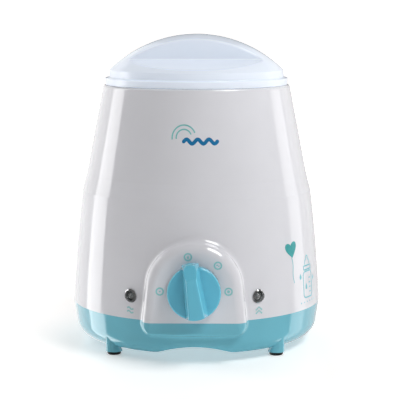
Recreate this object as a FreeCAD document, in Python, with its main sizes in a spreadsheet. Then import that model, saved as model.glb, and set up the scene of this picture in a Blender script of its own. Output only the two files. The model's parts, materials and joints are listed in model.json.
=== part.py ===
import FreeCAD, Part
import Sketcher
import math
import os
import re

# Bottle warmer, millimetres, +Z up, standing on z = 0 with the control knob towards -Y.
# The row's origin is the middle of the footprint's box. Every y below is measured from the
# vertical axis of the body, which stands axis_y behind that origin.

DIMENSIONS = {
    # The whole form: radii about the vertical axis, heights above the table
    "axis_y": 8.65,
    "wall": 2.45,
    "seam_radius": 70.84,
    "seam_height": 23.5,
    "band_low_radius": 65.3,
    "band_low_height": 87.3,
    "band_top_radius": 62.9,
    "band_top_height": 96.3,
    "top_radius": 53.0,
    "top_height": 146.95,
    "belly_radius": 850.0,
    "top_round": 1.5,
    # Bowl of the base
    "knuckle_radius": 69.2,
    "knuckle_height": 12.0,
    "bowl_radius": 10.0,
    "rim_radius": 64.3,
    "rim_height": 4.75,
    "rim_inside": 62.0,
    "floor_under": 8.4,
    "floor_over": 10.4,
    "lip_radius": 68.1,
    "lip_thick": 2.0,
    "lip_height": 28.5,
    "notch_rise": 4.6,
    "notch_arc": 48.0,
    "notch_blend": 12.0,
    "vent_near": 18.0,
    "vent_far": 31.0,
    "vent_half": 1.3,
    "vent_end": 1.5,
    # Legs and feet
    "leg_place": 44.9,
    "leg_radius": 4.7,
    "leg_bottom": 1.8,
    "leg_top": 13.0,
    "leg_lean": 2.6,
    "leg_top_radius": 1.9,
    "foot_radius": 3.8,
    "foot_stem": 1.55,
    # Arched control boss on the front
    "boss_front": 73.5,
    "boss_centre": 40.8,
    "boss_arch": 26.2,
    "boss_flare": 6.0,
    "boss_bottom": 16.1,
    "boss_corner": 6.0,
    "boss_round": 5.5,
    "boss_bottom_round": 2.0,
    "boss_blend": 3.5,
    # Lid
    "lid_top": 175.55,
    "dome_radius": 70.6,
    "dome_edge": 49.5,
    "lid_wall": 1.8,
    "lid_neck": 49.85,
    "lid_neck_height": 151.5,
    "lid_flange": 52.0,
    "lid_flange_top": 150.7,
    "lid_bottom": 147.1,
    "scoop_side": 19.0,
    "scoop_inner_height": 161.5,
    "scoop_outer_height": 154.9,
    "scoop_reach": 60.0,
    "scoop_round": 1.4,
    # Heating well
    "well_top_radius": 41.0,
    "well_low_radius": 39.5,
    "well_wall": 2.1,
    "well_flange": 50.6,
    "well_flange_low": 145.0,
    "well_rim_height": 147.0,
    "collar_inner": 45.8,
    "collar_outer": 47.3,
    "collar_height": 150.0,
    "well_foot": 51.5,
    "well_foot_low": 40.0,
    "well_foot_top": 42.5,
    "gasket_thick": 0.8,
    "ledge_radius": 48.6,
    "plate_radius": 47.0,
    "plate_top": 38.5,
    "plate_low": 36.5,
    "ring_low": 34.5,
    "ring_inner": 38.0,
    "clamp_screw_place": 49.3,
    "prop_place": 33.2,
    "prop_radius": 4.0,
    # Heater under the plate
    "element_long": 40.0,
    "element_wide": 24.0,
    "element_low": 30.5,
    "stud_place": 26.0,
    "stud_radius": 2.0,
    # Knob and switch; "out" sizes run outwards along the knob's axis
    "knob_back": 74.3,
    "knob_radius": 14.35,
    "knob_disc": 5.0,
    "knob_out": 15.5,
    "knob_tilt": 8.0,
    "grip_tip": 4.9,
    "grip_tail": 8.3,
    "grip_up": 15.8,
    "grip_down": 11.7,
    "grip_knee": 9.5,
    "tip_drop": 6.0,
    "grip_reach": 16.3,
    "grip_round": 0.9,
    "shaft_radius": 3.0,
    "shaft_gap": 0.05,
    "switch_radius": 11.0,
    "switch_deep": 13.1,
    "bushing_radius": 4.4,
    # Lamps
    "lamp_x": 34.3,
    "lamp_height": 36.05,
    "lamp_seat": 69.7,
    "lamp_flange": 3.75,
    "lamp_barrel": 3.1,
    "led_radius": 2.45,
    # Screw posts that join base and housing
    "post_x": 56.4,
    "post_y": 20.5,
    "post_radius": 4.5,
    "post_top": 26.0,
    "pillar_top": 44.0,
    # Control board
    "board_half": 34.0,
    "board_front": 54.6,
    "board_back": 53.0,
    "board_low": 28.0,
    "board_high": 56.0,
    "board_screw_x": 30.0,
    "board_screw_z": 51.0,
    # Cord inlet at the back
    "inlet_height": 16.2,
    "inlet_bore": 3.2,
    "inlet_sleeve": 4.8,
    "inlet_flange": 7.0,
    "inlet_pad": 70.9,
    "inlet_reach": 72.5,
    "inlet_inside": 64.7,
}

V = FreeCAD.Vector
UP = V(0, 0, 1)
FRONTWARD = FreeCAD.Rotation(UP, V(0, -1, 0))
BACKWARD = FreeCAD.Rotation(UP, V(0, 1, 0))
SIDEWAYS = FreeCAD.Rotation(UP, V(1, 0, 0))
DOWNWARD = FreeCAD.Rotation(V(1, 0, 0), 180)
# Local x stays x, local y points up and local z points out of the front
FACE_ON = FreeCAD.Rotation(V(1, 0, 0), 90)

doc = FreeCAD.newDocument("bottle_warmer")
sheet = doc.addObject("Spreadsheet::Sheet", "dims")
for row, (alias, number) in enumerate(DIMENSIONS.items(), start=1):
    sheet.set(f"A{row}", alias)
    sheet.set(f"B{row}", str(number))
    sheet.setAlias(f"B{row}", alias)
doc.recompute()

subparts = {}


# ---------------------------------------------------------------- expressions and placing

def bound(text):
    """An expression whose bare names point at the sheet's cells."""
    return re.sub(r"[a-z_]+", lambda m: "dims." + m[0] if m[0] in DIMENSIONS else m[0], str(text))


def value(text):
    """The number that an expression gives now."""
    return float(sheet.evalExpression(bound(text)))


def bind(thing, **sizes):
    for name, text in sizes.items():
        thing.setExpression(name, bound(text))


def place(thing, x=0, y=0, z=0, turn=None):
    """Put an object at (x, y, z), with y counted from the body's axis."""
    if turn is not None:
        thing.Placement = FreeCAD.Placement(V(), turn)
    thing.setExpression("Placement.Base.x", bound(x))
    thing.setExpression("Placement.Base.y", bound(f"axis_y + ({y})"))
    thing.setExpression("Placement.Base.z", bound(z))
    return thing


def keep(label, thing):
    """Name a finished sub-part."""
    thing.Label = label
    subparts[label] = thing
    return thing


# ---------------------------------------------------------------- primitives and booleans

def box(name, x, y, z):
    """A block between the pairs of expressions x, y and z."""
    block = doc.addObject("Part::Box", name)
    bind(block, Length=f"({x[1]}) - ({x[0]})", Width=f"({y[1]}) - ({y[0]})", Height=f"({z[1]}) - ({z[0]})")
    return place(block, x[0], y[0], z[0])


def rod(name, radius, length, x=0, y=0, z=0, turn=None):
    """A round bar that starts at (x, y, z) and runs upwards, or along the turned direction."""
    bar = doc.addObject("Part::Cylinder", name)
    bind(bar, Radius=radius, Height=length)
    return place(bar, x, y, z, turn)


def sorted_pair(sign, near, far):
    """Two x expressions on one side of the axis, the lower first."""
    return (near, far) if sign > 0 else (f"-({far})", f"-({near})")


def fuse(name, *pieces):
    joined = doc.addObject("Part::MultiFuse", name)
    joined.Shapes = list(pieces)
    return joined


def cut(name, base, *tools):
    result = doc.addObject("Part::Cut", name)
    result.Base = base
    result.Tool = tools[0] if len(tools) == 1 else fuse(name + "_tools", *tools)
    return result


def common(name, first, second):
    result = doc.addObject("Part::MultiCommon", name)
    result.Shapes = [first, second]
    return result


# ---------------------------------------------------------------- sketched bodies

def start_body(name):
    body = doc.addObject("PartDesign::Body", name)
    doc.recompute()
    return body


def origin_part(body, role):
    return next(item for item in body.Origin.OriginFeatures if item.Role == role)


def new_sketch(body, name, plane, lift):
    drawing = body.newObject("Sketcher::SketchObject", name)
    drawing.AttachmentSupport = [(origin_part(body, plane + "_Plane"), "")]
    drawing.MapMode = "FlatFace"
    drawing.setExpression("AttachmentOffset.Base.z", bound(lift))
    return drawing


def pin_point(drawing, edge, end, x, y):
    """Hold one point of a sketch at (x, y)."""
    for kind, text in (("DistanceX", x), ("DistanceY", y)):
        number = drawing.addConstraint(Sketcher.Constraint(kind, -1, 1, edge, end, value(text)))
        drawing.setExpression(f"Constraints[{number}]", bound(text))


def pin_radius(drawing, edge, radius):
    number = drawing.addConstraint(Sketcher.Constraint("Radius", edge, value(radius)))
    drawing.setExpression(f"Constraints[{number}]", bound(radius))


def arc_between(start, end, radius, side):
    """The short arc from start to end that bends to the given side, and the order of its ends."""
    half = (end - start) * 0.5
    left = V(-half.y, half.x, 0).normalize()
    rise = math.sqrt(radius ** 2 - half.Length ** 2)
    centre = start + half + left * (rise if side == "left" else -rise)
    angles = [math.atan2(point.y - centre.y, point.x - centre.x) for point in (start, end)]
    circle = Part.Circle(centre, UP, radius)
    if side == "left":
        return Part.ArcOfCircle(circle, angles[0], angles[1]), (1, 2)
    return Part.ArcOfCircle(circle, angles[1], angles[0]), (2, 1)


def outline(body, name, plane, points, arcs=None, lift=0):
    """A closed sketch through pairs of expressions.

    arcs maps the number of a point to (radius, side) where the edge that leaves it is an arc."""
    arcs = arcs or {}
    drawing = new_sketch(body, name, plane, lift)
    corners = [V(value(x), value(y), 0) for x, y in points]
    ends = []
    for number, corner in enumerate(corners):
        following = corners[(number + 1) % len(corners)]
        if number in arcs:
            radius, side = arcs[number]
            edge, order = arc_between(corner, following, value(radius), side)
        else:
            edge, order = Part.LineSegment(corner, following), (1, 2)
        drawing.addGeometry(edge, False)
        ends.append(order)
    for number in range(len(corners)):
        after = (number + 1) % len(corners)
        drawing.addConstraint(Sketcher.Constraint("Coincident", number, ends[number][1], after, ends[after][0]))
    for number, (x, y) in enumerate(points):
        pin_point(drawing, number, ends[number][0], x, y)
    for number, (radius, _) in arcs.items():
        pin_radius(drawing, number, radius)
    return drawing


def circle(body, name, plane, radius, x=0, y=0, lift=0):
    drawing = new_sketch(body, name, plane, lift)
    drawing.addGeometry(Part.Circle(V(value(x), value(y), 0), UP, value(radius)), False)
    pin_point(drawing, 0, 3, x, y)
    pin_radius(drawing, 0, radius)
    return drawing


def two_circles(body, name, plane, inner, outer, lift=0):
    drawing = circle(body, name, plane, inner, lift=lift)
    drawing.addGeometry(Part.Circle(V(), UP, value(outer)), False)
    pin_point(drawing, 1, 3, 0, 0)
    pin_radius(drawing, 1, outer)
    return drawing


def sweep_round(body, name, drawing):
    turned = body.newObject("PartDesign::Revolution", name)
    turned.Profile = drawing
    turned.ReferenceAxis = (drawing, ["V_Axis"])
    turned.Angle = 360.0
    return turned


def pad(body, name, drawing, length, reverse=False):
    raised = body.newObject("PartDesign::Pad", name)
    raised.Profile = drawing
    raised.Reversed = reverse
    bind(raised, Length=length)
    return raised


def pocket(body, name, drawing, depth, reverse=False):
    """A pocket of the given depth; it has to take material away."""
    doc.recompute()
    before = body.Shape.Volume
    sunk = body.newObject("PartDesign::Pocket", name)
    sunk.Profile = drawing
    sunk.Reversed = reverse
    bind(sunk, Length=depth)
    doc.recompute()
    if body.Shape.Volume > before - 0.01:
        raise RuntimeError(f"{name} cuts nothing")
    return sunk


def round_edges(body, name, radius, wanted):
    """Fillet the edges of the body whose middle point passes the test."""
    doc.recompute()
    feature = body.Tip
    names = []
    for number, edge in enumerate(feature.Shape.Edges, start=1):
        middle = edge.valueAt((edge.FirstParameter + edge.LastParameter) / 2)
        if wanted(edge, middle):
            names.append(f"Edge{number}")
    rounded = body.newObject("PartDesign::Fillet", name)
    rounded.Base = (feature, names)
    bind(rounded, Radius=radius)
    doc.recompute()
    return rounded


def turned(name, points, arcs=None, x=0, y=0, z=0, turn=None):
    """A body turned from a half section of (radius, height) pairs."""
    body = start_body(name)
    drawing = outline(body, name + "_section", "XZ", points, arcs)
    sweep_round(body, name + "_turned", drawing)
    return place(body, x, y, z, turn)


def ring(name, inner, outer, low, high, **where):
    return turned(name, [(inner, low), (outer, low), (outer, high), (inner, high)], **where)


def prism(name, plane, points, low, high, arcs=None):
    """A body raised from an outline, between two distances along X, Y or Z."""
    body = start_body(name)
    lift = f"-({high})" if plane == "XZ" else low
    drawing = outline(body, name + "_outline", plane, points, arcs, lift)
    pad(body, name + "_pad", drawing, f"({high}) - ({low})")
    return place(body)


def screw(name, shank, length, head, x, y, z, turn=None):
    """A cross-head screw: the head's underside is at (x, y, z) and the shank runs along local z."""
    body = start_body(name)
    tall = f"({head}) * 0.65"
    points = [(0, f"-{tall}"), (f"({head}) * 0.6", f"-{tall}"), (head, f"-{tall} * 0.4"), (head, 0), (shank, 0),
              (shank, f"({length}) - ({shank})"), (0, length)]
    sweep_round(body, name + "_turned", outline(body, name + "_section", "XZ", points))
    arm = f"({head}) * 0.55"
    half = f"({head}) * 0.1"
    cross = [(f"-{half}", f"-{arm}"), (half, f"-{arm}"), (half, f"-{half}"), (arm, f"-{half}"), (arm, half),
             (half, half), (half, arm), (f"-{half}", arm), (f"-{half}", half), (f"-{arm}", half),
             (f"-{arm}", f"-{half}"), (f"-{half}", f"-{half}")]
    drawing = outline(body, name + "_cross", "XY", cross, lift=f"-{tall}")
    pocket(body, name + "_recess", drawing, f"{tall} * 0.6", reverse=True)
    return place(body, x, y, z, turn)


def hexagon(name, across, bore, low, high, **where):
    """A hexagonal nut with its bore along local z."""
    body = start_body(name)
    corner = f"({across}) / sqrt(3)"
    points = [(corner, 0), (f"{corner} / 2", f"({across}) / 2"), (f"-{corner} / 2", f"({across}) / 2"),
              (f"-{corner}", 0), (f"-{corner} / 2", f"-({across}) / 2"), (f"{corner} / 2", f"-({across}) / 2")]
    drawing = outline(body, name + "_outline", "XY", points, lift=low)
    pad(body, name + "_pad", drawing, f"({high}) - ({low})")
    pocket(body, name + "_bore", circle(body, name + "_hole", "XY", bore, lift=high), f"({high}) - ({low})")
    return place(body, **where)


def lead(label, radius, route):
    """A wire along straight runs joined by tangent arcs, each as large as its runs allow."""
    points = [V(x, y + value("axis_y"), z) for x, y, z in route]
    edges = []
    here = points[0]
    for before, corner, after in zip(points, points[1:], points[2:]):
        inward = (before - corner).normalize()
        outward = (after - corner).normalize()
        turn = math.pi - inward.getAngle(outward)
        shorter = min((before - corner).Length, (after - corner).Length)
        back = 0.45 * shorter
        bend = back / math.tan(turn / 2)
        bisector = (inward + outward).normalize()
        centre = corner + bisector * (bend / math.cos(turn / 2))
        entry = corner + inward * back
        leaving = corner + outward * back
        edges.append(Part.LineSegment(here, entry).toShape())
        edges.append(Part.Arc(entry, centre - bisector * bend, leaving).toShape())
        here = leaving
        print(f"{label}: bend radius {bend:.1f}")
    edges.append(Part.LineSegment(here, points[-1]).toShape())
    path = Part.Wire(edges)
    section = Part.Wire([Part.Circle(points[0], points[1] - points[0], radius).toShape()])
    solid = path.makePipeShell([section], True, False)
    expected = math.pi * radius ** 2 * path.Length
    if abs(solid.Volume / expected - 1) > 0.02:
        raise RuntimeError(f"{label} has the wrong volume")
    wire = doc.addObject("Part::Feature", label)
    wire.Shape = solid
    wire.Placement = FreeCAD.Placement()
    return keep(label, wire)


# ---------------------------------------------------------------- outer form shared by housing and base

def arch_outline(body, inset, reach):
    """The boss's outline, brought in by inset and raised from y = -50 out to reach.

    Its sides lean out downwards by boss_flare and meet the arch without a kink."""
    radius = f"(boss_arch - ({inset}))"
    side = f"{radius} * cos(boss_flare * 1 deg)"
    spring = f"boss_centre + {radius} * sin(boss_flare * 1 deg)"
    bottom = f"boss_bottom + ({inset})"
    foot = f"{side} + ({spring} - ({bottom})) * tan(boss_flare * 1 deg)"
    points = [(f"-({foot})", bottom), (foot, bottom), (side, spring), (0, f"boss_centre + {radius}"),
              (f"-({side})", spring)]
    drawing = outline(body, body.Name + "_outline", "XZ", points, {2: (radius, "left"), 3: (radius, "left")}, lift=50)
    return pad(body, body.Name + "_pad", drawing, f"{reach} - 50")


def round_boss_front(boss):
    """Fillet round the boss's face: broad on its arch and sides, small along its bottom edge."""
    doc.recompute()
    front = value("axis_y - boss_front")
    bottom = value("boss_bottom")
    radii = []
    for number, edge in enumerate(boss.Shape.Edges, start=1):
        ends = [vertex.Point for vertex in edge.Vertexes]
        if all(abs(end.y - front) < 0.01 for end in ends):
            broad = [end.z > bottom + 0.05 for end in ends]
            radii.append((number, *(value("boss_round" if wide else "boss_bottom_round") for wide in broad)))
    rounded = doc.addObject("Part::Fillet", "boss_rounded")
    rounded.Base = boss
    rounded.Edges = radii
    return rounded


def make_outer_form():
    """The solid outside of housing and base together, with the boss on it."""
    body = start_body("body_form")
    points = [
        (0, "floor_under"),
        ("rim_inside - 0.4", "floor_under"),
        ("rim_inside", "rim_height"),
        ("rim_radius", "rim_height"),
        ("knuckle_radius", "knuckle_height"),
        ("seam_radius", "seam_height"),
        ("band_low_radius", "band_low_height"),
        ("band_top_radius", "band_top_height"),
        ("top_radius", "top_height"),
        (0, "top_height"),
    ]
    arcs = {3: ("bowl_radius", "left"), 5: ("belly_radius", "left")}
    sweep_round(body, "body_turned", outline(body, "body_section", "XZ", points, arcs))
    top = value("top_height")
    round_edges(body, "top_edge", "top_round", lambda edge, at: abs(at.z - top) < 0.01 and at.Length > top)
    place(body)

    boss = start_body("boss_form")
    arch_outline(boss, 0, "boss_front")
    bottom = value("boss_bottom")
    round_edges(boss, "boss_corners", "boss_corner",
                lambda edge, at: abs(at.z - bottom) < 0.01 and abs(edge.tangentAt(edge.FirstParameter).y) > 0.9)
    place(boss)
    return fuse("outer_form", body, round_boss_front(boss))


def make_inner_form():
    """The room inside housing, base and boss."""
    body = turned("room", [
        (0, "floor_over"),
        ("knuckle_radius - wall - 2.2", "floor_over"),
        ("knuckle_radius - wall", "knuckle_height + 0.4"),
        ("seam_radius - wall", "seam_height"),
        ("band_low_radius - wall", "band_low_height"),
        ("band_top_radius - wall", "band_top_height"),
        ("top_radius - wall + 0.6", "well_flange_low - gasket_thick - 2.2"),
        (0, "well_flange_low - gasket_thick - 2.2"),
    ], {3: ("belly_radius - wall", "left")})
    boss = start_body("boss_room")
    arch_outline(boss, "wall", "boss_front - wall")
    front = -value("boss_front - wall")
    round_edges(boss, "boss_room_round", "boss_round - wall", lambda edge, at: abs(at.y - front) < 0.01)
    place(boss)
    return fuse("inner_form", body, boss)


def blend_boss(name, half):
    """Fillet the hollow corner where the boss meets the round body, on one side of the seam."""
    doc.recompute()
    seam = value("seam_height")
    numbers = []
    for number, edge in enumerate(half.Shape.Edges, start=1):
        middle = edge.valueAt((edge.FirstParameter + edge.LastParameter) / 2)
        surfaces = [type(face.Surface).__name__ for face in half.Shape.ancestorsOfType(edge, Part.Face)]
        on_boss = abs(middle.x) < 29 and middle.y < value("axis_y") - 60 and abs(middle.z - seam) > 0.05
        if on_boss and set(surfaces) & {"Cone", "SurfaceOfRevolution"} and len(set(surfaces)) == 2:
            numbers.append(number)
    blended = doc.addObject("Part::Fillet", name)
    blended.Base = half
    blended.Edges = [(number, value("boss_blend"), value("boss_blend")) for number in numbers]
    doc.recompute()
    if blended.Shape.Volume <= half.Shape.Volume:
        raise RuntimeError(f"{name} blends nothing")
    return blended


outer_form = make_outer_form()
inner_form = make_inner_form()
upper_form = blend_boss("upper_form", common("upper_half", outer_form,
                                             box("over_seam", (-90, 90), (-90, 90), ("seam_height", 180))))
lower_form = blend_boss("lower_form", common("lower_half", outer_form,
                                             box("under_seam", (-90, 90), (-90, 90), (-5, "seam_height"))))


def lamp_direction(side):
    """Unit vector out of the wall through the lamp on one side (-1 left, 1 right)."""
    across = side * value("lamp_x") / value("lamp_seat")
    return V(across, -math.sqrt(1 - across ** 2), 0)


def lamp_turn(side):
    return FreeCAD.Rotation(UP, lamp_direction(side))


def lamp_spot(distance, side):
    """Expressions for the point at a distance from the axis on a lamp's centre line."""
    x = f"{side} * ({distance}) * lamp_x / lamp_seat"
    y = f"-({distance}) * sqrt(1 - (lamp_x / lamp_seat) ^ 2)"
    return {"x": x, "y": y, "z": "lamp_height"}


# ---------------------------------------------------------------- upper housing

def make_upper_housing():
    """White tapered shell with the boss, the well's ledge, screw pillars and board posts."""
    parts = [cut("housing_shell", upper_form, inner_form)]
    for x in (-1, 1):
        for y in (-1, 1):
            spot = {"x": f"{x} * post_x", "y": f"{y} * post_y"}
            parts.append(rod("pillar", "post_radius - 0.5", "pillar_top - post_top", z="post_top", **spot))
            rib = box("pillar_rib", sorted_pair(x, "post_x + 3", "post_x + 9.5"),
                      (f"{y} * post_y - 0.9", f"{y} * post_y + 0.9"), ("lip_height + 0.6", "pillar_top"))
            parts.append(rib)
        parts.append(rod("board_post", 2.6, 6.0, x=f"{x} * board_screw_x", y="-board_front", z="board_screw_z",
                         turn=FRONTWARD))
    solid = fuse("housing_solid", *parts)
    trimmed = common("housing_trimmed", solid, upper_form)

    holes = [
        rod("well_way", "ledge_radius", 40, z=120),
        rod("flange_seat", "well_flange + 0.3", 20, z="well_flange_low - gasket_thick"),
        rod("switch_way", "bushing_radius + 0.1", 12, y="-65", z="boss_centre", turn=FRONTWARD),
    ]
    for x in (-1, 1):
        holes.append(rod("lamp_way", "lamp_barrel + 0.1", 12, turn=lamp_turn(x), **lamp_spot("lamp_seat - 6", x)))
        holes.append(rod("lamp_flat", "lamp_flange + 0.1", 4, turn=lamp_turn(x), **lamp_spot("lamp_seat", x)))
        holes.append(rod("board_pilot", 0.95, 5.0, x=f"{x} * board_screw_x", y="-board_front", z="board_screw_z",
                         turn=FRONTWARD))
        for y in (-1, 1):
            holes.append(rod("pillar_pilot", 1.55, 12, x=f"{x} * post_x", y=f"{y} * post_y", z="post_top"))
    keep("upper_housing", cut("upper_housing", trimmed, *holes))


# ---------------------------------------------------------------- base

def make_floor_and_legs():
    """Floor disc with four leaning legs."""
    body = start_body("floor_and_legs")
    pad(body, "floor_disc", circle(body, "floor_outline", "XY", "rim_inside + 1", lift="floor_under"),
        "floor_over - floor_under")
    low = circle(body, "leg_foot_outline", "XY", "leg_radius", "leg_place", "leg_place", lift="leg_bottom")
    high = circle(body, "leg_top_outline", "XY", "leg_top_radius", "leg_place + leg_lean", "leg_place + leg_lean",
                  lift="leg_top")
    leg = body.newObject("PartDesign::AdditiveLoft", "leg")
    leg.Profile = low
    leg.Sections = [high]
    leg.Ruled = True
    doc.recompute()
    legs = body.newObject("PartDesign::PolarPattern", "legs")
    legs.Originals = [leg]
    legs.Axis = (origin_part(body, "Z_Axis"), [""])
    legs.Angle = 360.0
    legs.Occurrences = 4
    body.Tip = legs
    return place(body)


def make_vents():
    """Ten round-ended slots set evenly about the axis, as cutting tools."""
    slots = []
    for number in range(10):
        slot = prism("vent", "XY", [("vent_near", "-vent_half"), ("vent_far", "-vent_half"),
                                    ("vent_far", "vent_half"), ("vent_near", "vent_half")],
                     "floor_under - 1", "floor_over + 1", {1: ("vent_end", "left"), 3: ("vent_end", "left")})
        slots.append(place(slot, turn=FreeCAD.Rotation(UP, 36.0 * number)))
    return slots


def make_notch():
    """The shallow wave that lifts the front of the rim."""
    flank = "sqrt((notch_arc + notch_blend) ^ 2 - (notch_arc + notch_blend - notch_rise) ^ 2)"
    share = "notch_arc / (notch_arc + notch_blend)"
    meet_x = f"{flank} * {share}"
    meet_z = f"rim_height + notch_rise - notch_arc + (notch_arc + notch_blend - notch_rise) * {share}"
    points = [(f"-{flank}", -5), (flank, -5), (flank, "rim_height"), (meet_x, meet_z), (f"-{meet_x}", meet_z),
              (f"-{flank}", "rim_height")]
    arcs = {2: ("notch_blend", "right"), 3: ("notch_arc", "left"), 4: ("notch_blend", "right")}
    return prism("notch", "XZ", points, -90, -57, arcs)


def make_base_housing():
    """Aqua bowl with its legs, screw posts, props for the well and the cord inlet's pad."""
    pieces = [
        cut("base_shell", lower_form, inner_form),
        make_floor_and_legs(),
        box("inlet_pad_block", (-9, 9), ("inlet_inside + 1.5", "inlet_pad"), ("floor_under", "seam_height - 1.5")),
    ]
    lip = cut("lip", ring("lip_ring", "lip_radius - lip_thick", "lip_radius", "seam_height - 2", "lip_height"),
              box("lip_gap", ("-boss_arch - 2", "boss_arch + 2"), (-90, -40), ("seam_height", 60)))
    pieces.append(lip)
    holes = make_vents() + [
        make_notch(),
        rod("inlet_hole", "inlet_sleeve + 0.1", 20, y=60, z="inlet_height", turn=BACKWARD),
        rod("inlet_lip_way", "inlet_sleeve + 0.9", 8, y="inlet_inside - 6.5", z="inlet_height", turn=BACKWARD),
    ]
    for x in (-1, 1):
        pieces.append(rod("cord_post", 3.0, "inlet_height + 1 - floor_over", x=8 * x, y=55, z="floor_over"))
        holes.append(rod("cord_pilot", 1.05, 5, x=8 * x, y=55, z="inlet_height - 4"))
        for y in (-1, 1):
            post = {"x": f"{x} * post_x", "y": f"{y} * post_y"}
            prop = {"x": f"{x} * prop_place", "y": f"{y} * prop_place"}
            foot = {"x": f"{x} * leg_place", "y": f"{y} * leg_place"}
            pieces.append(rod("screw_post", "post_radius", "post_top - floor_under", z="floor_under", **post))
            pieces.append(rod("prop", "prop_radius", "ring_low - floor_over + 0.5", z="floor_over - 0.5", **prop))
            holes.append(rod("screw_well", 3.2, 13, z=7, **post))
            holes.append(rod("screw_way", 1.7, 30, z=5, **post))
            holes.append(rod("stem_hole", "foot_stem + 0.05", 3.4, z="leg_bottom", **foot))
    keep("base_housing", cut("base_housing", fuse("base_solid", *pieces), *holes))


def make_feet():
    """Rubber pads whose stems push up into the legs."""
    names = {(-1, -1): "front_left", (1, -1): "front_right", (-1, 1): "back_left", (1, 1): "back_right"}
    points = [(0, 0), ("foot_radius - 0.4", 0), ("foot_radius", 0.4), ("foot_radius", "leg_bottom"),
              ("foot_stem", "leg_bottom"), ("foot_stem", "leg_bottom + 3"), (0, "leg_bottom + 3")]
    for (x, y), name in names.items():
        label = "rubber_foot_" + name
        keep(label, turned(label, points, x=f"{x} * leg_place", y=f"{y} * leg_place"))


def make_base_screws():
    screws = [screw("base_screw", 1.5, 18, 2.9, f"{x} * post_x", f"{y} * post_y", 20)
              for x in (-1, 1) for y in (-1, 1)]
    keep("base_screws", fuse("base_screws", *screws))


# ---------------------------------------------------------------- lid

def cut_scoops(body, inset):
    """Hollow both finger scoops, each with an upright inner wall and a floor that falls outwards."""
    near = f"(scoop_side - ({inset}))"
    inner = f"scoop_inner_height - ({inset})"
    outer = f"scoop_outer_height - ({inset})"
    for side in (-1, 1):
        points = [(f"{side} * {near}", inner), (f"{side} * {near}", "lid_top + 5"),
                  (f"{side} * scoop_reach", "lid_top + 5"), (f"{side} * scoop_reach", outer)]
        if side > 0:
            points.reverse()
        pocket(body, "scoop", outline(body, "scoop_outline", "YZ", points, lift="-scoop_reach"),
               "2 * scoop_reach", reverse=True)


def make_lid():
    """Frosted dome with two finger scoops that leave a ridge to lift it by."""
    centre = "lid_top - dome_radius"
    edge_z = f"{centre} + sqrt(dome_radius ^ 2 - dome_edge ^ 2)"
    body = start_body("lid_outside")
    points = [(0, "lid_bottom"), ("lid_flange - 0.2", "lid_bottom"), ("lid_flange", "lid_flange_top"),
              ("lid_neck", "lid_neck_height"), ("dome_edge", edge_z), (0, "lid_top")]
    sweep_round(body, "lid_turned", outline(body, "lid_section", "XZ", points, {4: ("dome_radius", "left")}))
    cut_scoops(body, 0)
    above_neck = value("lid_neck_height") + 3
    round_edges(body, "scoop_edges", "scoop_round", lambda edge, at: at.z > above_neck and len(edge.Vertexes) == 2)
    place(body)

    inner_edge = "dome_edge - lid_wall"
    inner_z = f"{centre} + sqrt((dome_radius - lid_wall) ^ 2 - ({inner_edge}) ^ 2)"
    room = start_body("lid_inside")
    points = [(0, "lid_bottom - 1"), ("lid_neck - lid_wall", "lid_bottom - 1"),
              ("lid_neck - lid_wall", "lid_neck_height"), (inner_edge, inner_z), (0, "lid_top - lid_wall")]
    sweep_round(room, "lid_room_turned",
                outline(room, "lid_room_section", "XZ", points, {3: ("dome_radius - lid_wall", "left")}))
    cut_scoops(room, "lid_wall")
    place(room)
    keep("lid", cut("lid", body, room))


# ---------------------------------------------------------------- heating well

def make_well():
    """Liner open at both ends, sealed at its foot by the heated plate."""
    liner = turned("well_liner", [
        ("well_low_radius", "well_foot_low"),
        ("well_foot", "well_foot_low"),
        ("well_foot", "well_foot_top"),
        ("well_low_radius + well_wall", "well_foot_top"),
        ("well_top_radius + well_wall", "well_flange_low"),
        ("well_flange", "well_flange_low"),
        ("well_flange", "well_rim_height"),
        ("collar_outer", "well_rim_height"),
        ("collar_outer", "collar_height"),
        ("collar_inner", "collar_height"),
        ("collar_inner", "well_rim_height"),
        ("well_top_radius + 2", "well_rim_height"),
        ("well_top_radius", "well_rim_height - 2"),
    ], {11: (2.0, "left")})
    ways = [rod("liner_way", 1.15, 6, x=f"{x} * clamp_screw_place", y=f"{y} * clamp_screw_place", z=38)
            for x, y in ((1, 0), (-1, 0), (0, 1), (0, -1))]
    keep("well_liner", cut("liner_drilled", liner, *ways))

    keep("well_gasket", ring("well_gasket", "ledge_radius + 0.3", "well_flange", "well_flange_low - gasket_thick",
                             "well_flange_low"))
    keep("well_seal", ring("well_seal", "well_low_radius + 1", "plate_radius - 1", "plate_top", "well_foot_low"))

    disc = rod("plate_disc", "plate_radius", "plate_top - plate_low", z="plate_low")
    studs = [rod("plate_stud", "stud_radius", "plate_low - 24 + 0.5", x=f"{x} * stud_place", z=24) for x in (-1, 1)]
    keep("heater_plate", fuse("heater_plate", disc, *studs))

    clamp = ring("clamp_blank", "ring_inner", "well_foot", "ring_low", "plate_low")
    ways = [rod("clamp_way", 1.15, 6, x=f"{x} * clamp_screw_place", y=f"{y} * clamp_screw_place", z="ring_low - 2")
            for x, y in ((1, 0), (-1, 0), (0, 1), (0, -1))]
    keep("clamp_ring", cut("clamp_ring", clamp, *ways))
    screws = [screw("clamp_screw", 1.1, 7.6, 2.0, f"{x} * clamp_screw_place", f"{y} * clamp_screw_place", "ring_low")
              for x, y in ((1, 0), (-1, 0), (0, 1), (0, -1))]
    keep("clamp_screws", fuse("clamp_screws", *screws))


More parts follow.
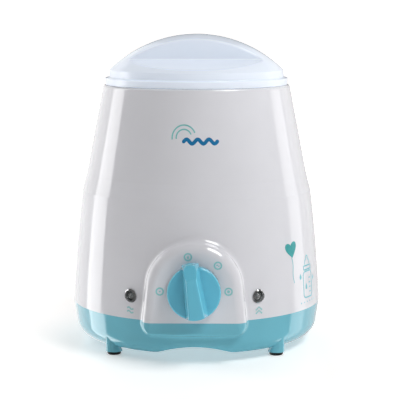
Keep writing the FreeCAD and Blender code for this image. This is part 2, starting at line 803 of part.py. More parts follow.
def make_heater():
    """Heating element pressed under the plate by a sprung bridge, with its sensor and fuse."""
    half_long = "element_long / 2"
    half_wide = "element_wide / 2"
    keep("heater_element", box("heater_element", (f"-{half_long}", half_long), (f"-{half_wide}", half_wide),
                               ("element_low", "plate_low")))
    keep("heater_pad", box("heater_pad", (f"1 - {half_long}", f"{half_long} - 1"), (f"1 - {half_wide}", f"{half_wide} - 1"),
                           ("element_low - 1", "element_low")))
    bar = box("bridge_bar", ("-stud_place - 5", "stud_place + 5"), (-8, 8), ("element_low - 3", "element_low - 1"))
    ways = [rod("bridge_way", "stud_radius + 0.1", 6, x=f"{x} * stud_place", z=25) for x in (-1, 1)]
    keep("heater_bridge", cut("heater_bridge", bar, *ways))
    nuts = [hexagon("bridge_nut", 7.0, "stud_radius + 0.05", 0, 2.4, x=f"{x} * stud_place", z="element_low - 5.4")
            for x in (-1, 1)]
    keep("bridge_nuts", fuse("bridge_nuts", *nuts))
    keep("temperature_sensor", turned("temperature_sensor", [
        (0, 31.5), (3, 31.5), (3, "plate_low - 1"), (5, "plate_low - 1"), (5, "plate_low"), (0, "plate_low")], y=-20))
    keep("thermal_fuse", rod("thermal_fuse", 2.0, 12.0, x=-6, y=20, z="plate_low - 2.1", turn=SIDEWAYS))


# ---------------------------------------------------------------- knob and switch

def make_knob():
    """Round knob with a tapered grip that points at the settings."""
    body = start_body("knob")
    pad(body, "knob_disc_pad", circle(body, "knob_rim", "XY", "knob_radius"), "knob_disc")
    disc = value("knob_disc")
    round_edges(body, "knob_disc_round", 1.0, lambda edge, at: abs(at.z - disc) < 0.01)
    grip = outline(body, "grip_outline", "XY", [
        ("-grip_tail / 2", "-grip_down"),
        ("grip_tail / 2", "-grip_down"),
        ("grip_tip / 2", "grip_up - 1.2"),
        ("-grip_tip / 2", "grip_up - 1.2"),
    ], {0: ("grip_down + 1", "left"), 2: ("grip_tip * 0.62", "left")}, lift="knob_out")
    ridge = pad(body, "grip", grip, "knob_out - knob_disc + 2", reverse=True)
    ridge.TaperAngle = 10.0
    doc.recompute()
    high = value("knob_out")
    round_edges(body, "grip_rounded", "grip_round", lambda edge, at: abs(at.z - high) < 0.01)
    slope = outline(body, "tip_slope_outline", "YZ", [
        ("grip_knee", "knob_out"), ("grip_up + 2", "knob_out - tip_drop"), ("grip_up + 2", "knob_out + 1"),
        ("grip_knee", "knob_out + 1"),
    ], lift=-10)
    pocket(body, "tip_slope", slope, 20, reverse=True)
    trim = two_circles(body, "grip_trim_outline", "XY", "grip_reach", "knob_radius + 10", lift="knob_out + 1")
    pocket(body, "grip_trim", trim, "knob_out + 2")
    pocket(body, "knob_hollow", circle(body, "hollow_outline", "XY", "knob_radius - 1.75"), 3.4, reverse=True)
    hub = circle(body, "hub_outline", "XY", "shaft_radius + 2", lift=2.4)
    pad(body, "hub", hub, 1.5)
    flat = "shaft_radius - 0.5 + shaft_gap"
    reach = f"sqrt((shaft_radius + shaft_gap) ^ 2 - ({flat}) ^ 2)"
    wide = "shaft_radius + shaft_gap"
    bore = outline(body, "bore_outline", "XY", [(reach, flat), (f"-({reach})", flat), (0, f"-({wide})")],
                   {1: (wide, "left"), 2: (wide, "left")}, lift=2.0)
    pocket(body, "bore", bore, 8.0, reverse=True)
    turn = FACE_ON.multiply(FreeCAD.Rotation(UP, value("knob_tilt")))
    place(body, 0, "-knob_back", "boss_centre", turn)
    keep("knob", body)


def make_switch():
    """Rotary switch behind the boss, its bushing nut, and the shaft and rotor that turn with the knob."""
    spot = {"y": "wall - boss_front", "z": "boss_centre", "turn": FACE_ON}
    case = turned("switch_case", [
        (0, "-switch_deep"), ("switch_radius", "-switch_deep"), ("switch_radius", 0), ("bushing_radius", 0),
        ("bushing_radius", 5.6), ("shaft_radius + shaft_gap", 5.6), ("shaft_radius + shaft_gap", -4), (8.6, -4),
        (8.6, "2 - switch_deep"), (0, "2 - switch_deep"),
    ], **spot)
    pins = [rod("switch_pin", 0.5, "boss_front - wall - switch_deep + 0.5 - board_front", x=x, y="-board_front",
                z=f"boss_centre + {z}", turn=FRONTWARD) for x, z in ((-6, 0), (0, 6), (6, 0))]
    keep("switch_body", fuse("switch_body", case, *pins))
    keep("switch_rotor", ring("switch_rotor", "shaft_radius + 0.03", 8, -10.2, -5, **spot))
    keep("switch_washer", ring("switch_washer", "bushing_radius + 0.05", 7.2, "wall", "wall + 0.4", **spot))
    keep("switch_nut", hexagon("switch_nut", 12.0, "bushing_radius + 0.05", "wall + 0.4", "wall + 2.4", **spot))

    shaft = start_body("knob_shaft")
    pad(shaft, "shaft_pad", circle(shaft, "shaft_outline", "XY", "shaft_radius", lift=-10.5), 22.8)
    flat = outline(shaft, "flat_outline", "XY", [(-4, "shaft_radius - 0.5"), (4, "shaft_radius - 0.5"), (4, 5),
                                                 (-4, 5)], lift=5.0)
    pocket(shaft, "shaft_flat", flat, 8, reverse=True)
    turn = FACE_ON.multiply(FreeCAD.Rotation(UP, value("knob_tilt")))
    keep("knob_shaft", place(shaft, 0, "wall - boss_front", "boss_centre", turn))


# ---------------------------------------------------------------- lamps

def make_lamps():
    """Two indicator lamps in plated bezels, each held by a push-on ring behind the wall."""
    for side, name in ((-1, "left"), (1, "right")):
        spot = dict(lamp_spot("lamp_seat", side), turn=lamp_turn(side))
        keep("led_bezel_" + name, turned("led_bezel_" + name, [
            ("led_radius + 0.1", -4.6),
            ("lamp_barrel", -4.6),
            ("lamp_barrel", 0),
            ("lamp_flange", 0),
            ("lamp_flange", 0.9),
            ("lamp_flange - 0.6", 1.5),
            ("led_radius + 0.45", 1.5),
            ("led_radius + 0.1", 0.2),
        ], **spot))
        lens = turned("led_lens_" + name, [
            (0, -4.4), ("led_radius", -4.4), ("led_radius", -1.6), (0, "led_radius - 1.6"),
        ], {2: ("led_radius", "left")}, **spot)
        pins = []
        for offset in (-0.8, 0.8):
            pin = lamp_spot("lamp_seat - 6.6", side)
            pin["z"] = f"lamp_height + {offset}"
            pins.append(rod("led_pin", 0.25, 2.4, turn=lamp_turn(side), **pin))
        keep("led_" + name, fuse("led_" + name, lens, *pins))
        keep("led_retainer_" + name, ring("led_retainer_" + name, "lamp_barrel + 0.05", 4.9, -3.9, -2.9, **spot))


# ---------------------------------------------------------------- control board

def make_board():
    """Upright circuit board behind the boss with what stands on it."""
    blank = box("board_blank", ("-board_half", "board_half"), ("-board_front", "-board_back"),
                ("board_low", "board_high"))
    ways = [rod("board_way", 1.3, 6, x=f"{x} * board_screw_x", y="-board_back + 2", z="board_screw_z", turn=FRONTWARD)
            for x in (-1, 1)]
    keep("control_board", cut("control_board", blank, *ways))
    screws = [screw("board_screw", 0.9, 6.2, 2.3, f"{x} * board_screw_x", "-board_back", "board_screw_z", FRONTWARD)
              for x in (-1, 1)]
    keep("board_screws", fuse("board_screws", *screws))
    keep("relay", box("relay", (12.5, 22.5), ("-board_front - 11", "-board_front"), (30, 46)))
    keep("film_capacitor", box("film_capacitor", (-22, -12.5), ("-board_front - 7.5", "-board_front"), (29, 41)))
    keep("electrolytic_capacitor", rod("electrolytic_capacitor", 4.0, 10.0, x=-16, y="-board_front", z=50,
                                       turn=FRONTWARD))
    keep("control_chip", box("control_chip", (13, 22.5), ("-board_front - 3.3", "-board_front"), (48.5, 54.8)))
    keep("board_connector", box("board_connector", (-30, -20), ("-board_back", "-board_back + 5.5"), (29, 34)))


# ---------------------------------------------------------------- cord inlet and wiring

def make_inlet():
    """Gland for the mains cord, the clamp behind it and the terminal block."""
    keep("cord_gland", turned("cord_gland", [
        ("inlet_bore", "inlet_inside"), ("inlet_sleeve + 0.8", "inlet_inside"),
        ("inlet_sleeve + 0.8", "inlet_inside + 1.5"), ("inlet_sleeve", "inlet_inside + 1.5"),
        ("inlet_sleeve", "inlet_pad"), ("inlet_flange", "inlet_pad"), ("inlet_flange", "inlet_reach - 0.6"),
        ("inlet_flange - 0.8", "inlet_reach"), ("inlet_bore", "inlet_reach"),
    ], z="inlet_height", turn=BACKWARD))

    bar = box("clamp_bar", (-11, 11), (52, 58), ("inlet_height + 1", "inlet_height + 5.5"))
    arch = rod("clamp_arch", "inlet_bore + 0.1", 10, y=50, z="inlet_height", turn=BACKWARD)
    ways = [rod("clamp_bar_way", 1.3, 8, x=8 * x, y=55, z="inlet_height") for x in (-1, 1)]
    keep("cord_clamp", cut("cord_clamp", bar, arch, *ways))
    screws = [screw("cord_screw", 1.0, 8.6, 2.2, 8 * x, 55, "inlet_height + 5.5", DOWNWARD) for x in (-1, 1)]
    keep("cord_clamp_screws", fuse("cord_clamp_screws", *screws))

    block = box("terminal_block", (-9, 9), (34, 46), ("floor_over", "floor_over + 10"))
    holes = []
    for x in (-1, 1):
        for y, turn in ((33, BACKWARD), (47, FRONTWARD)):
            holes.append(rod("terminal_way", 1.3, 6, x=5 * x, y=y, z=15, turn=turn))
        for y in (37, 43):
            holes.append(rod("terminal_screw_well", 1.6, 6, x=5 * x, y=y, z=18))
    keep("mains_terminal", cut("mains_terminal", block, *holes))


def make_leads():
    """Insulated wires between terminal, board, fuse, heater and sensor."""
    lead("mains_lead_live", 0.9, [(5, 36, 15), (5, 26, 15), (9, 10, 13.5), (13.5, -8, 13), (14, -26, 13.5),
                                  (14, -38, 17), (14, -44.5, 28), (14, -52.98, 28.4)])
    lead("mains_lead_neutral", 0.7, [(-5, 36, 15), (-5, 29, 15.5), (-9, 25, 21), (-13.5, 22, 27), (-12.5, 20, 34.2),
                                     (-6.02, 20, 34.4)])
    lead("heater_lead_live", 0.7, [(-12, -12.02, 33), (-12, -20, 32.6), (-15.5, -29, 31.5), (-23.3, -37, 31.2),
                                   (-24, -47.45, 31.4)])
    lead("heater_lead_neutral", 0.7, [(6.02, 20, 34.4), (11, 20, 34.3), (14.7, 16.5, 33.5), (14.7, 12.02, 33.4)])
    lead("sensor_lead", 0.6, [(0, -20, 31.45), (0.1, -20.1, 27), (1.5, -26, 23.5), (3.5, -35, 24),
                              (4.2, -44, 28.6), (4, -52.95, 29.2)])


# ---------------------------------------------------------------- build, test and write

def check():
    """Stop on any failed object or unsound sub-part."""
    doc.recompute()
    for thing in doc.Objects:
        if "Invalid" in thing.State or "Error" in thing.State:
            raise RuntimeError(f"{thing.Name} failed: {thing.State}")
    for label, thing in subparts.items():
        if thing.Shape.isNull() or not thing.Shape.isValid() or not thing.Shape.Solids:
            raise RuntimeError(f"{label} is not a sound solid")


make_upper_housing()
make_base_housing()
make_feet()
make_base_screws()
make_lid()
make_well()
make_heater()
make_knob()
make_switch()
make_lamps()
make_board()
make_inlet()
make_leads()
check()

os.makedirs("parts", exist_ok=True)
for label, thing in subparts.items():
    thing.Shape.exportStep(f"parts/{label}.step")
print(f"{len(subparts)} sub-parts written")
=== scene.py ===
import json
import math

import bmesh
import bpy
from mathutils import Matrix, Vector
from mathutils.bvhtree import BVHTree
from mathutils.geometry import tessellate_polygon


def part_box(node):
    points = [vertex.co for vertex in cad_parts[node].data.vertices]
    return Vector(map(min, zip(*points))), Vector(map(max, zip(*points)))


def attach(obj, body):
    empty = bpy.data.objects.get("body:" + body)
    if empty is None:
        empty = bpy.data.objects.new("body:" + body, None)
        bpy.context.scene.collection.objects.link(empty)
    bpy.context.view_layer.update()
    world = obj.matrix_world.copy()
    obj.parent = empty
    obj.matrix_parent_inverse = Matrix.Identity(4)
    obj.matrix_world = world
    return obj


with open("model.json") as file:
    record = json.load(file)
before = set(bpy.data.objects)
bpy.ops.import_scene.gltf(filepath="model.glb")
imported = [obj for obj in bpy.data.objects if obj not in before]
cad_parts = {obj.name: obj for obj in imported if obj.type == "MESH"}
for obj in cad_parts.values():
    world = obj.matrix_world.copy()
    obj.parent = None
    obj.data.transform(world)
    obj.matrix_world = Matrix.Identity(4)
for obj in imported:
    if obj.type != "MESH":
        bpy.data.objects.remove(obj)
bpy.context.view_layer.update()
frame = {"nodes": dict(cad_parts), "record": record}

# Bottle warmer. Metres, +Z up, the knob towards -Y.

MM = 0.001
nodes = frame["nodes"]


def middle(node):
    low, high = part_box(node)
    return (low + high) / 2


AXIS_Y = middle("lid").y
KNOB = middle("knob_shaft")
BOSS_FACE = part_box("upper_housing")[0].y
LAMPS = {"left": middle("led_bezel_left"), "right": middle("led_bezel_right")}


# ---------------------------------------------------------------- materials

NOISE_DETAIL = 3.0
NOISE_LOW, NOISE_HIGH = 0.3, 0.7        # most of the noise lies between these two values


class Finish:
    """A node material around one Principled shader."""

    def __init__(self, name, **sockets):
        self.material = bpy.data.materials.new(name)
        self.material.use_nodes = True
        self.nodes = self.material.node_tree.nodes
        self.links = self.material.node_tree.links
        self.shader = self.nodes["Principled BSDF"]
        self.place = self.nodes.new("ShaderNodeTexCoord").outputs["Object"]
        for socket, value in sockets.items():
            self.shader.inputs[socket.replace("_", " ")].default_value = value

    def noise(self, scale, stretch=None):
        """Noise over the object's own coordinates; scale counts features per metre."""
        texture = self.nodes.new("ShaderNodeTexNoise")
        texture.inputs["Scale"].default_value = scale
        texture.inputs["Detail"].default_value = NOISE_DETAIL
        place = self.place
        if stretch:
            mapping = self.nodes.new("ShaderNodeMapping")
            mapping.inputs["Scale"].default_value = stretch
            self.links.new(place, mapping.inputs["Vector"])
            place = mapping.outputs["Vector"]
        self.links.new(place, texture.inputs["Vector"])
        return texture.outputs["Fac"]

    def colour(self, dark, light, scale, stretch=None):
        """Cloudy change between two close shades."""
        ramp = self.nodes.new("ShaderNodeValToRGB")
        ends = ((NOISE_LOW, dark), (NOISE_HIGH, light))
        for stop, (position, tone) in zip(ramp.color_ramp.elements, ends):
            stop.position = position
            stop.color = (*tone, 1)
        self.links.new(self.noise(scale, stretch=stretch), ramp.inputs["Fac"])
        self.links.new(ramp.outputs["Color"], self.shader.inputs["Base Color"])
        return self

    def gloss(self, low, high, scale, stretch=None):
        """Roughness that wanders between two values."""
        spread = self.nodes.new("ShaderNodeMapRange")
        spread.inputs["From Min"].default_value = NOISE_LOW
        spread.inputs["From Max"].default_value = NOISE_HIGH
        spread.inputs["To Min"].default_value = low
        spread.inputs["To Max"].default_value = high
        self.links.new(self.noise(scale, stretch=stretch), spread.inputs["Value"])
        self.links.new(spread.outputs["Result"], self.shader.inputs["Roughness"])
        return self

    def relief(self, scale, height, strength, stretch=None):
        """Fine bumps, height in metres."""
        bump = self.nodes.new("ShaderNodeBump")
        bump.inputs["Strength"].default_value = strength
        bump.inputs["Distance"].default_value = height
        self.links.new(self.noise(scale, stretch), bump.inputs["Height"])
        self.links.new(bump.outputs["Normal"], self.shader.inputs["Normal"])
        return self


def shade(colour, factor):
    return tuple(channel * factor for channel in colour)


def moulded(name, colour, low=0.10, high=0.16, vary=0.03):
    """Glossy moulded plastic with a faint flow mottle and orange peel."""
    finish = Finish(name, IOR=1.5, Coat_Weight=0.7, Coat_Roughness=0.04)
    finish.colour(shade(colour, 1 - vary), colour, 35)
    finish.gloss(low, high, 60)
    return finish.relief(700, 0.01 * MM, 0.2).material


def metal(name, colour, low, high, stretch=None):
    """Bare or plated metal with fine working marks."""
    finish = Finish(name, Metallic=1.0)
    finish.colour(shade(colour, 0.9), colour, 180, stretch)
    finish.gloss(low, high, 300, stretch)
    return finish.relief(1500, 0.01 * MM, 0.3, stretch).material


def matt(name, colour, low=0.45, high=0.65):
    """Dull plastic, rubber or coating with a fine grain."""
    finish = Finish(name, IOR=1.5)
    finish.colour(shade(colour, 0.85), colour, 120)
    finish.gloss(low, high, 200)
    return finish.relief(1200, 0.03 * MM, 0.4).material


def frosted(name):
    """Milky translucent plastic. The faint glow stands in for light that scatters inside it."""
    finish = Finish(name, IOR=1.4, Transmission_Weight=0.2, Coat_Weight=0.6, Coat_Roughness=0.03,
                    Emission_Color=(0.74, 0.86, 1.0, 1), Emission_Strength=0.15)
    finish.colour((0.86, 0.90, 0.965), (0.89, 0.92, 0.975), 25)
    return finish.gloss(0.42, 0.5, 60).material


def clear(name):
    """Clear lamp plastic."""
    finish = Finish(name, IOR=1.53, Transmission_Weight=0.75)
    finish.colour((0.80, 0.83, 0.85), (0.90, 0.93, 0.94), 300)
    finish.gloss(0.03, 0.08, 400)
    return finish.relief(900, 0.01 * MM, 0.1).material


def printed(name, colour):
    """Pad-printed ink, a little uneven in cover."""
    finish = Finish(name, IOR=1.45)
    finish.colour(shade(colour, 0.88), colour, 700)
    finish.gloss(0.30, 0.42, 500)
    return finish.relief(2500, 0.01 * MM, 0.2).material


WHITE = (0.80, 0.805, 0.848)
AQUA = (0.19, 0.55, 0.67)
KNOB_AQUA = (0.165, 0.61, 0.80)

FINISHES = {
    "housing_white": lambda name: moulded(name, WHITE),
    "base_aqua": lambda name: moulded(name, AQUA, vary=0.06),
    "knob_aqua": lambda name: moulded(name, KNOB_AQUA, 0.16, 0.22, vary=0.06),
    "lid_frosted": frosted,
    "bezel_chrome": lambda name: metal(name, (0.93, 0.935, 0.94), 0.12, 0.20),
    "lamp_clear": clear,
    "foot_rubber": lambda name: matt(name, (0.022, 0.022, 0.024)),
    "well_white": lambda name: moulded(name, (0.74, 0.75, 0.76), 0.3, 0.4),
    "plate_aluminium": lambda name: metal(name, (0.72, 0.73, 0.75), 0.28, 0.4, (1, 14, 1)),
    "zinc_steel": lambda name: metal(name, (0.6, 0.61, 0.63), 0.25, 0.38),
    "seal_silicone": lambda name: matt(name, (0.7, 0.71, 0.72)),
    "heater_case": lambda name: metal(name, (0.6, 0.6, 0.62), 0.35, 0.5, (12, 1, 1)),
    "mica_pad": lambda name: matt(name, (0.4, 0.33, 0.23)),
    "sensor_brass": lambda name: metal(name, (0.72, 0.55, 0.25), 0.25, 0.35),
    "board_green": lambda name: matt(name, (0.03, 0.17, 0.07), 0.3, 0.42),
    "component_black": lambda name: matt(name, (0.03, 0.03, 0.032)),
    "component_blue": lambda name: moulded(name, (0.03, 0.12, 0.4), 0.3, 0.4),
    "component_yellow": lambda name: matt(name, (0.75, 0.5, 0.08)),
    "nylon_white": lambda name: matt(name, (0.72, 0.71, 0.66)),
    "gland_white": lambda name: matt(name, (0.72, 0.73, 0.74), 0.35, 0.45),
    "switch_case": lambda name: matt(name, (0.06, 0.06, 0.065)),
    "lead_brown": lambda name: moulded(name, (0.16, 0.07, 0.035), 0.3, 0.4),
    "lead_blue": lambda name: moulded(name, (0.03, 0.13, 0.45), 0.3, 0.4),
    "lead_red": lambda name: moulded(name, (0.5, 0.03, 0.03), 0.3, 0.4),
}


def finish_cad_nodes():
    """Give every CAD node the finish of its material slot."""
    finishes = {slot: make(slot) for slot, make in FINISHES.items()}
    for part in frame["record"]["subparts"]:
        mesh = nodes[part["node"]].data
        mesh.materials.clear()
        mesh.materials.append(finishes[part["material_slot"]])


# ---------------------------------------------------------------- printed marks

INK_ABOVE = 0.05 * MM       # how far the ink's two faces lie over and under the skin
INK_BELOW = 0.04 * MM
INK_STEP = 0.9 * MM         # the ink is cut this fine, so that it follows the skin
LINE = 0.7 * MM             # width of the bottle drawing's lines


class Skin:
    """The outside of a CAD node, for laying flat artwork on it."""

    IN_FRONT = 0.1          # metres from the boss face, or from the upright axis, to where a ray starts
    ROUND_ABOUT = 0.2

    def __init__(self, node):
        mesh = nodes[node].data
        corners = [vertex.co for vertex in mesh.vertices]
        self.tree = BVHTree.FromPolygons(corners, [tuple(face.vertices) for face in mesh.polygons])

    def facing(self, centre):
        """Artwork laid square on from the front: across is +X, up is +Z."""
        def lay(across, up, lift):
            start = Vector((centre.x + across, centre.y - self.IN_FRONT, centre.z + up))
            hit = self.tree.ray_cast(start, Vector((0, 1, 0)))[0]
            return hit + Vector((0, -1, 0)) * lift
        return lay

    def wrapped(self, azimuth, height, radius=68 * MM):
        """Artwork wrapped round the upright axis, centred at a height and an azimuth from the front."""
        def lay(across, up, lift):
            angle = azimuth + across / radius
            outward = Vector((math.sin(angle), -math.cos(angle), 0))
            start = Vector((0, AXIS_Y, height + up)) + outward * self.ROUND_ABOUT
            hit = self.tree.ray_cast(start, -outward)[0]
            return hit + outward * lift
        return lay


def flat_artwork(triangles):
    """The triangles as one flat mesh, cut along a square grid."""
    flat = bmesh.new()
    for triangle in triangles:
        flat.faces.new([flat.verts.new((x, y, 0)) for x, y in triangle])
    bmesh.ops.remove_doubles(flat, verts=flat.verts, dist=0.001 * MM)
    for axis in (0, 1):
        reach = [vertex.co[axis] for vertex in flat.verts]
        for number in range(math.floor(min(reach) / INK_STEP), math.ceil(max(reach) / INK_STEP) + 1):
            normal = Vector((0, 0, 0))
            normal[axis] = 1
            everything = flat.verts[:] + flat.edges[:] + flat.faces[:]
            bmesh.ops.bisect_plane(flat, geom=everything, dist=0.0001 * MM,
                                   plane_co=normal * (number * INK_STEP), plane_no=normal)
    flat.verts.index_update()
    return flat


def print_mark(name, triangles, lay, ink):
    """A thin closed layer of ink on the housing: an upper face, an under face and a wall round the rim."""
    flat = flat_artwork(triangles)
    spots = [vertex.co.xy for vertex in flat.verts]
    faces = [[vertex.index for vertex in face.verts] for face in flat.faces]
    rim = [[vertex.index for vertex in edge.verts] for edge in flat.edges if edge.is_boundary]
    flat.free()

    count = len(spots)
    points = [lay(x, y, INK_ABOVE) for x, y in spots] + [lay(x, y, -INK_BELOW) for x, y in spots]
    walls = [(a, b, b + count, a + count) for a, b in rim]
    under = [[index + count for index in reversed(face)] for face in faces]
    mesh = bpy.data.meshes.new(name)
    mesh.from_pydata(points, [], faces + under + walls)
    solid = bmesh.new()
    solid.from_mesh(mesh)
    bmesh.ops.recalc_face_normals(solid, faces=solid.faces)
    solid.to_mesh(mesh)
    solid.free()
    mesh.materials.append(ink)
    mark = bpy.data.objects.new(name, mesh)
    bpy.context.scene.collection.objects.link(mark)
    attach(mark, "housing")


def filled(outline):
    """Triangles that fill an outline."""
    corners = [Vector((x, y, 0)) for x, y in outline]
    return [[outline[index] for index in triangle] for triangle in tessellate_polygon([corners])]


def stroke(points, width, closed=False):
    """A ribbon of even width along a line of points."""
    line = [Vector(point) for point in points]
    last = len(line) - 1
    sides = []
    for number, point in enumerate(line):
        before = line[number - 1] if number or closed else point
        after = line[(number + 1) % len(line)] if number < last or closed else point
        along = (after - before).normalized()
        across = Vector((-along.y, along.x)) * width / 2
        sides.append((point + across, point - across))
    pairs = list(zip(sides, sides[1:] + sides[:1] if closed else sides[1:]))
    triangles = []
    for (left, right), (next_left, next_right) in pairs:
        triangles += [(left, right, next_right), (left, next_right, next_left)]
    return [[tuple(point) for point in triangle] for triangle in triangles]


def round_cap(end, before, width, steps=10):
    """A half disc that rounds off a ribbon's end, on the side away from the point before it."""
    end = Vector(end)
    along = (end - Vector(before)).normalized()
    across = Vector((-along.y, along.x))
    rim = []
    for step in range(steps + 1):
        angle = math.pi * step / steps
        rim.append(tuple(end + (across * math.cos(angle) + along * math.sin(angle)) * width / 2))
    return [(rim[0], rim[step], rim[step + 1]) for step in range(1, steps)]


def arc(x, y, radius, start=0, end=360, steps=40):
    """Points along a round arc, angles in degrees."""
    angles = [math.radians(start + (end - start) * step / steps) for step in range(steps + 1)]
    return [(x + radius * math.cos(angle), y + radius * math.sin(angle)) for angle in angles]


def disc(x, y, radius):
    return filled(arc(x, y, radius)[:-1])


def hoop(x, y, radius, width):
    return stroke(arc(x, y, radius)[:-1], width, closed=True)


def drop(x, y, size, steps=36):
    """A water drop, size tall, centred at (x, y)."""
    angles = [2 * math.pi * step / steps for step in range(steps)]
    return filled([(x + 0.38 * size * math.sin(angle) * math.sin(angle / 2), y + 0.5 * size * math.cos(angle))
                   for angle in angles])


def heart(size, tilt, steps=60):
    """A heart, size wide, round the middle of the artwork and turned by tilt degrees."""
    turn = math.radians(tilt)
    points = []
    for step in range(steps):
        angle = 2 * math.pi * step / steps
        across = size * 0.5 * math.sin(angle) ** 3
        up = size * (0.42 * math.cos(angle) - 0.17 * math.cos(2 * angle) - 0.07 * math.cos(3 * angle))
        points.append((across * math.cos(turn) - up * math.sin(turn),
                       across * math.sin(turn) + up * math.cos(turn)))
    return filled(points)


def wave(x, y, length, height, crests, steps):
    """Points along a wave that starts at (x, y)."""
    return [(x + length * step / steps, y + height * math.sin(2 * math.pi * crests * step / steps))
            for step in range(steps + 1)]


def slab(half, low, high, radius):
    """Outline of an upright rectangle with round corners, from low to high and half to each side."""
    top, bottom, side = high - radius, low + radius, half - radius
    points = []
    for x, y, start in ((side, top, 0), (-side, top, 90), (-side, bottom, 180), (side, bottom, 270)):
        points += arc(x, y, radius, start, start + 90, 6)
    return points


def print_dial_marks(skin):
    """Four ringed settings round the knob: a dot, a drop, a wave and a larger dot."""
    lay = skin.facing(Vector((KNOB.x, BOSS_FACE, KNOB.z)))
    ink = printed("ink_dial", (0.30, 0.66, 0.67))
    settings = (
        (180, 18.3 * MM, lambda x, y: disc(x, y, 0.45 * MM)),
        (100, 18.9 * MM, lambda x, y: drop(x, y, 1.9 * MM)),
        (48, 18.9 * MM, lambda x, y: stroke(wave(x - 0.85 * MM, y, 1.7 * MM, 0.35 * MM, 1, 16), 0.45 * MM)),
        (0, 18.3 * MM, lambda x, y: disc(x, y, 0.8 * MM)),
    )
    for number, (angle, reach, sign) in enumerate(settings):
        x = reach * math.cos(math.radians(angle))
        y = reach * math.sin(math.radians(angle))
        marks = hoop(x, y, 1.85 * MM, 0.85 * MM) + sign(x, y)
        print_mark(f"dial_mark_{number}", marks, lay, ink)


def print_lamp_marks(skin):
    """A small sign under each lamp: a double roof on the right, a double wave on the left."""
    below, half, width = 7.6 * MM, 1.9 * MM, 0.8 * MM
    ink = printed("ink_lamp", (0.34, 0.66, 0.67))
    for side, lamp in LAMPS.items():
        azimuth = math.atan2(lamp.x, AXIS_Y - lamp.y)
        lay = skin.wrapped(azimuth, lamp.z - below)
        marks = []
        for rise in (-1.2 * MM, 0.7 * MM):
            if side == "right":
                points = [(-half, rise - 0.8 * MM), (0, rise + 0.9 * MM), (half, rise - 0.8 * MM)]
            else:
                points = wave(-half, rise, 2 * half, 0.55 * MM, 1, 24)
            marks += stroke(points, width)
        print_mark(f"lamp_mark_{side}", marks, lay, ink)


def print_balloon(skin, pale):
    """A heart balloon on a wavy string."""
    lay = skin.wrapped(math.radians(50.5), 58.8 * MM)
    print_mark("balloon", heart(9.8 * MM, 8), lay, printed("ink_heart", (0.05, 0.40, 0.41)))
    string = [((0.5 * math.sin(0.4 * step) + 0.09 * step) * MM, (-4.6 - 0.9 * step) * MM)
              for step in range(17)]
    print_mark("balloon_string", stroke(string, 0.45 * MM), lay, pale)


def print_bottle(skin, pale):
    """A line drawing of a feeding bottle, with drops round it and dots for the ground."""
    lay = skin.wrapped(math.radians(64), 40.8 * MM)
    body = slab(5.4 * MM, -11 * MM, 3.6 * MM, 2.2 * MM)
    print_mark("bottle_line", stroke(body, LINE, closed=True), lay, pale)
    collar = slab(4.6 * MM, 4.6 * MM, 6.8 * MM, 0.6 * MM)
    print_mark("collar_line", stroke(collar, LINE, closed=True), lay, pale)
    shoulder, shoulder_up = 3.1 * MM, 7.6 * MM
    teat = arc(0, shoulder_up, shoulder, 0, 62, 8)
    teat += arc(0, 11.2 * MM, 1.1 * MM, -20, 200, 12)
    teat += arc(0, shoulder_up, shoulder, 118, 180, 8)
    print_mark("teat_line", stroke(teat, LINE), lay, pale)
    for number in range(4):
        rise = (-8.2 + 2.6 * number) * MM
        print_mark(f"measure_{number}", stroke([(1.4 * MM, rise), (3.6 * MM, rise)], LINE), lay, pale)
    for number, (x, y) in enumerate(((-2.2, -4.6), (-8.4, 1.5), (8.2, -1.0))):
        size = (3.6 - 0.4 * number) * MM
        print_mark(f"milk_drop_{number}", drop(x * MM, y * MM, size), lay, pale)
    for number in range(6):
        x = (-8.6 + 3.4 * number) * MM
        print_mark(f"ground_dot_{number}", disc(x, -13.4 * MM, 0.45 * MM), lay, pale)


def print_badge(skin):
    """A bold wave with two thin arcs over it, high on the front of the housing."""
    lay = skin.wrapped(0, 122 * MM, 60 * MM)
    blue = printed("ink_blue", (0.012, 0.19, 0.42))
    line = wave(-6 * MM, -2.5 * MM, 18.6 * MM, 1.15 * MM, 3, 96)
    width = 2.0 * MM
    caps = round_cap(line[0], line[1], width) + round_cap(line[-1], line[-2], width)
    print_mark("badge_wave", stroke(line, width) + caps, lay, blue)
    teal = printed("ink_teal", (0.20, 0.58, 0.57))
    for number, radius in enumerate((6.6 * MM, 4.3 * MM)):
        curve = arc(-6 * MM, -0.4 * MM, radius, 22, 190, 30)
        print_mark(f"badge_arc_{number}", stroke(curve, 0.75 * MM), lay, teal)


# ---------------------------------------------------------------- stage

def floor_paint():
    """Pale paint that glows a little, more so towards the back."""
    finish = Finish("floor_paint", IOR=1.45, Emission_Color=(1, 0.965, 0.945, 1))
    finish.colour((0.90, 0.895, 0.89), (0.92, 0.915, 0.91), 3)
    finish.gloss(0.30, 0.36, 6)
    finish.relief(400, 0.02 * MM, 0.05)
    split = finish.nodes.new("ShaderNodeSeparateXYZ")
    glow = finish.nodes.new("ShaderNodeMapRange")
    for socket, value in (("From Min", -0.15), ("From Max", 0.9), ("To Min", 0.34), ("To Max", 0.82)):
        glow.inputs[socket].default_value = value
    finish.links.new(finish.place, split.inputs["Vector"])
    finish.links.new(split.outputs["Y"], glow.inputs["Value"])
    finish.links.new(glow.outputs["Result"], finish.shader.inputs["Emission Strength"])
    return finish.material


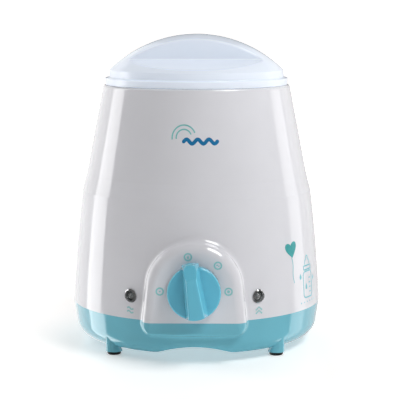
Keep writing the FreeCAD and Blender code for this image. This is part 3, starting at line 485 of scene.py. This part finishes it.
def make_floor():
    """Pale sweep: a wide flat floor that curves up far behind. The object's gloss doesn't show it."""
    mesh = bpy.data.meshes.new("floor")
    radius, half, back, front, top, steps = 0.8, 12.0, 1.6, -12.0, 2.5, 24
    profile = [(front, 0.0), (back, 0.0)]
    for step in range(1, steps + 1):
        angle = math.radians(90 * step / steps)
        profile.append((back + radius * math.sin(angle), radius - radius * math.cos(angle)))
    profile.append((back + radius, top))
    points = [(side * half, y, z) for y, z in profile for side in (-1, 1)]
    faces = [(i, i + 1, i + 3, i + 2) for i in range(0, len(points) - 2, 2)]
    mesh.from_pydata(points, [], faces)
    for face in mesh.polygons:
        face.use_smooth = True
    mesh.materials.append(floor_paint())
    floor = bpy.data.objects.new("floor", mesh)
    floor.visible_glossy = False
    bpy.context.scene.collection.objects.link(floor)


def softbox(name, place, aim, size, radiance, along=(0, 0, 1)):
    """A rectangular soft light that the camera doesn't see: size across, and along the given direction."""
    lamp = bpy.data.lights.new(name, "AREA")
    lamp.shape = "RECTANGLE"
    lamp.size, lamp.size_y = size
    lamp.energy = radiance * math.pi * size[0] * size[1]
    back = (Vector(place) - Vector(aim)).normalized()
    across = Vector(along).cross(back).normalized()
    turn = Matrix((across, back.cross(across), back)).transposed()
    light = bpy.data.objects.new(name, lamp)
    light.matrix_world = Matrix.Translation(place) @ turn.to_4x4()
    light.visible_camera = False
    bpy.context.scene.collection.objects.link(light)
    return light


def make_lights():
    """A key from the upper right, tall strips behind both shoulders and a fill that no gloss shows."""
    target = (0, AXIS_Y, 0.09)
    softbox("key", (0.44, -0.38, 0.76), (0, -0.02, 0.06), (0.34, 0.46), 9.9, along=(0, 1, 0))
    softbox("left", (-0.80, 0.24, 0.0), target, (0.34, 1.5), 2.9)
    softbox("left_far", (-0.55, 0.76, 0.0), target, (0.90, 1.5), 0.9)
    softbox("right", (0.78, 0.30, 0.0), target, (0.30, 1.5), 1.35)
    softbox("right_far", (0.52, 0.78, 0.0), target, (0.80, 1.5), 0.6)
    fill = softbox("left_fill", (-0.54, 0.12, 0.44), (0, AXIS_Y, 0.13), (0.34, 0.40), 1.5)
    fill.visible_glossy = False
    world = bpy.data.worlds.new("studio")
    world.use_nodes = True
    background = world.node_tree.nodes["Background"]
    background.inputs["Color"].default_value = (1, 1, 1, 1)
    background.inputs["Strength"].default_value = 0.09
    bpy.context.scene.world = world


def make_camera():
    """The photograph's view: a long lens, a little above the object and a hair to its right."""
    distance, height, aim_height = 0.850, 0.196, 0.080
    azimuth = math.radians(1.0)
    camera = bpy.data.cameras.new("camera")
    camera.sensor_width = 36.0
    camera.lens = 133.7
    camera.shift_x = 0.00875
    eye = bpy.data.objects.new("camera", camera)
    eye.location = (distance * math.sin(azimuth), AXIS_Y - distance * math.cos(azimuth), height)
    aim = Vector((0, AXIS_Y, aim_height))
    eye.rotation_euler = (aim - eye.location).to_track_quat("-Z", "Y").to_euler()
    bpy.context.scene.collection.objects.link(eye)
    bpy.context.scene.camera = eye
    bpy.context.scene.view_settings.view_transform = "Standard"


finish_cad_nodes()
housing_skin = Skin("upper_housing")
print_dial_marks(housing_skin)
print_lamp_marks(housing_skin)
pale_ink = printed("ink_pale", (0.19, 0.58, 0.66))
print_balloon(housing_skin, pale_ink)
print_bottle(housing_skin, pale_ink)
print_badge(housing_skin)
make_floor()
make_lights()
make_camera()
